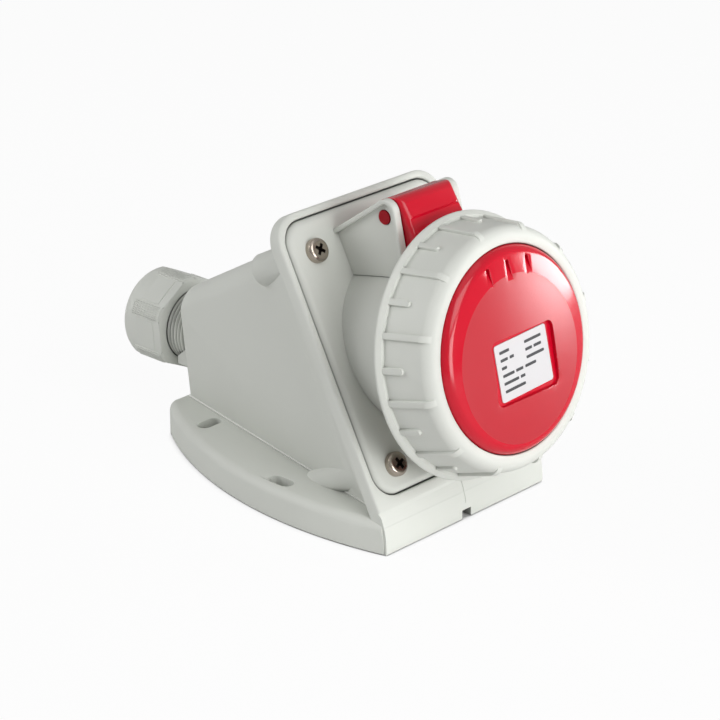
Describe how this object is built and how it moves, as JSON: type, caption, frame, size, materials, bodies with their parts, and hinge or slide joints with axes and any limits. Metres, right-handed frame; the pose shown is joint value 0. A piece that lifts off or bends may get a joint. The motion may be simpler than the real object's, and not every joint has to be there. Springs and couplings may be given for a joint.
{
  "type": "industrial socket",
  "caption": "Surface-mounted industrial socket on a wedge-shaped wall box, with a hinged lid, a bayonet locking ring and a cable gland.",
  "frame": {"origin": "centre of the mounting face", "axes": "+Z away from the wall, +Y back along the box to the cable gland, +X across, the lid looks to -Y"},
  "size_m": [0.0866, 0.1736, 0.1069],
  "materials": {
    "grey_plastic": "satin",
    "red_plastic": "gloss",
    "insulator": "matte",
    "rubber": "matte",
    "steel": "bright",
    "brass": "satin",
    "label": "satin"
  },
  "bodies": {
    "housing": {"wall_box": "grey_plastic", "plate_gasket": "rubber", "socket_body": "grey_plastic", "plate_screws": "steel", "contact_carrier": "insulator", "carrier_back": "insulator", "carrier_screws": "steel", "sleeve_l1": "brass", "sleeve_l2": "brass", "sleeve_l3": "brass", "sleeve_earth": "brass", "terminal_screws": "steel", "hinge_pin": "red_plastic", "gland_seal": "rubber"},
    "lid": {"lid": "red_plastic", "lid_gasket": "rubber", "lid_label": "label"},
    "ring": {"locking_ring": "grey_plastic"},
    "washer": {"gland_washer": "insulator"},
    "nut": {"gland_nut": "grey_plastic"}
  },
  "joints": [
    {"name": "lid_hinge", "type": "hinge", "parent": "housing", "child": "lid", "pos_m": [0, -0.03609, 0.10038], "axis": [-1, 0, 0], "range_deg": [0, 120]},
    {"name": "ring_turn", "type": "hinge", "parent": "lid", "child": "ring", "pos_m": [0, -0.07808, 0.0637], "axis": [0, 0.9789, -0.2045], "range_deg": [0, 40]},
    {"name": "washer_slide", "type": "slide", "parent": "housing", "child": "washer", "axis": [0, -1, 0], "range_m": [0, 0.003]},
    {"name": "nut_turn", "type": "hinge", "parent": "washer", "child": "nut", "pos_m": [0, 0.0783, 0.0324], "axis": [0, -1, 0], "range_deg": [0, 720]}
  ],
  "couplings": [
    {"joint": "nut_turn", "follows": "washer_slide", "rad_per_m": 4188.8}
  ]
}
